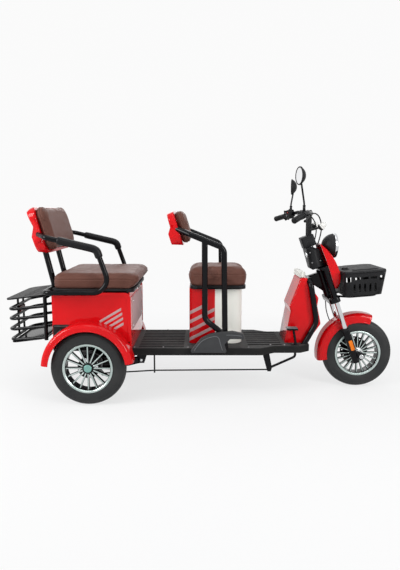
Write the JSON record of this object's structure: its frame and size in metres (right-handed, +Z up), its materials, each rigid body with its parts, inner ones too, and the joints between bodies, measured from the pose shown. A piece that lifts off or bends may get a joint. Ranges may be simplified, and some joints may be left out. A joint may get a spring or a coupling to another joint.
{
  "type": "electric tricycle",
  "caption": "Three-wheeled electric passenger tricycle with a driver seat, a rear bench with armrests, a rear rack and a lidded front basket; it steers, rolls and opens.",
  "frame": {"origin": "on the ground, midway between the front of the front tyre and the end of the rear rack, on the centre plane", "axes": "+X forward, +Y to the driver's left, +Z up"},
  "size_m": [2.2299, 0.744, 1.2799],
  "materials": {
    "red_paint": "gloss",
    "red_plastic": "gloss",
    "cream_plastic": "satin",
    "grey_panel": "satin",
    "brown_leather": "soft",
    "frame_black": "gloss",
    "black_plastic": "matt",
    "deck_plastic": "matt",
    "cover_grey": "satin",
    "tyre": "matt",
    "rim": "gloss black with cut faces",
    "chrome": "polished",
    "axle_steel": "satin",
    "lens_clear": "clear",
    "lens_red": "gloss",
    "rubber": "matt"
  },
  "bodies": {
    "chassis": {"main_frame": "frame_black", "floor_deck": "deck_plastic", "rear_sides": "red_paint", "rear_front_panel": "red_paint", "rear_back_panel": "black_plastic", "rear_tub": "black_plastic", "rear_fenders": "red_paint", "rear_axle": "axle_steel", "rear_arms": "frame_black", "rear_arm_tubes": "frame_black", "rear_arm_pads": "rubber", "rear_posts": "frame_black", "rear_back_pad": "brown_leather", "rear_back_shell": "red_plastic", "rear_rack": "frame_black", "rack_shelf": "frame_black", "rack_floor": "frame_black", "driver_box": "red_plastic", "driver_column": "cream_plastic", "battery": "black_plastic", "driver_frames": "frame_black", "driver_back_pad": "brown_leather", "driver_back_shell": "red_plastic", "foot_covers": "cover_grey", "leg_shield": "red_plastic", "shield_cap": "cream_plastic", "brake_pedal": "axle_steel", "tail_lamp": "lens_red"},
    "rear_seat": {"rear_seat_pan": "black_plastic", "rear_cushion": "brown_leather"},
    "driver_seat": {"driver_seat_pan": "black_plastic", "driver_cushion": "brown_leather"},
    "steering": {"fork_crown": "frame_black", "fork_stanchions": "chrome", "fork_legs": "frame_black", "front_axle": "chrome", "front_guard": "red_plastic", "steering_cover": "black_plastic", "head_shield": "red_plastic", "headlamp": "black_plastic", "headlamp_lens": "lens_clear", "stem": "black_plastic", "handlebar": "frame_black", "grips": "rubber", "hand_controls": "black_plastic", "mirrors": "black_plastic", "indicators": "lens_clear", "basket": "black_plastic", "basket_carrier": "frame_black"},
    "basket_lid": {"basket_lid": "black_plastic"},
    "front_wheel": {"front_tyre": "tyre", "front_rim": "rim"},
    "rear_wheel_right": {"rear_right_tyre": "tyre", "rear_right_rim": "rim"},
    "rear_wheel_left": {"rear_left_tyre": "tyre", "rear_left_rim": "rim"}
  },
  "joints": [
    {"name": "rear_wheel_right_spin", "type": "hinge", "parent": "chassis", "child": "rear_wheel_right", "pos_m": [-0.641, -0.309, 0.206], "axis": [0, 1, 0], "continuous": true},
    {"name": "rear_wheel_left_spin", "type": "hinge", "parent": "chassis", "child": "rear_wheel_left", "pos_m": [-0.641, 0.309, 0.206], "axis": [0, 1, 0], "continuous": true},
    {"name": "steering_turn", "type": "hinge", "parent": "chassis", "child": "steering", "pos_m": [0.677, 0, 0.7], "axis": [-0.342, 0, 0.9397], "range_deg": [-40, 40]},
    {"name": "front_wheel_spin", "type": "hinge", "parent": "steering", "child": "front_wheel", "pos_m": [0.909, 0, 0.206], "axis": [0, 1, 0], "continuous": true},
    {"name": "basket_lid_hinge", "type": "hinge", "parent": "steering", "child": "basket_lid", "pos_m": [1.02934, 0, 0.7137], "axis": [0, 1, 0], "range_deg": [0, 110]},
    {"name": "rear_seat_hinge", "type": "hinge", "parent": "chassis", "child": "rear_seat", "pos_m": [-0.402, 0, 0.602], "axis": [0, 1, 0], "range_deg": [0, 70]},
    {"name": "driver_seat_hinge", "type": "hinge", "parent": "chassis", "child": "driver_seat", "pos_m": [0.216, 0, 0.602], "axis": [0, 1, 0], "range_deg": [0, 75]}
  ]
}
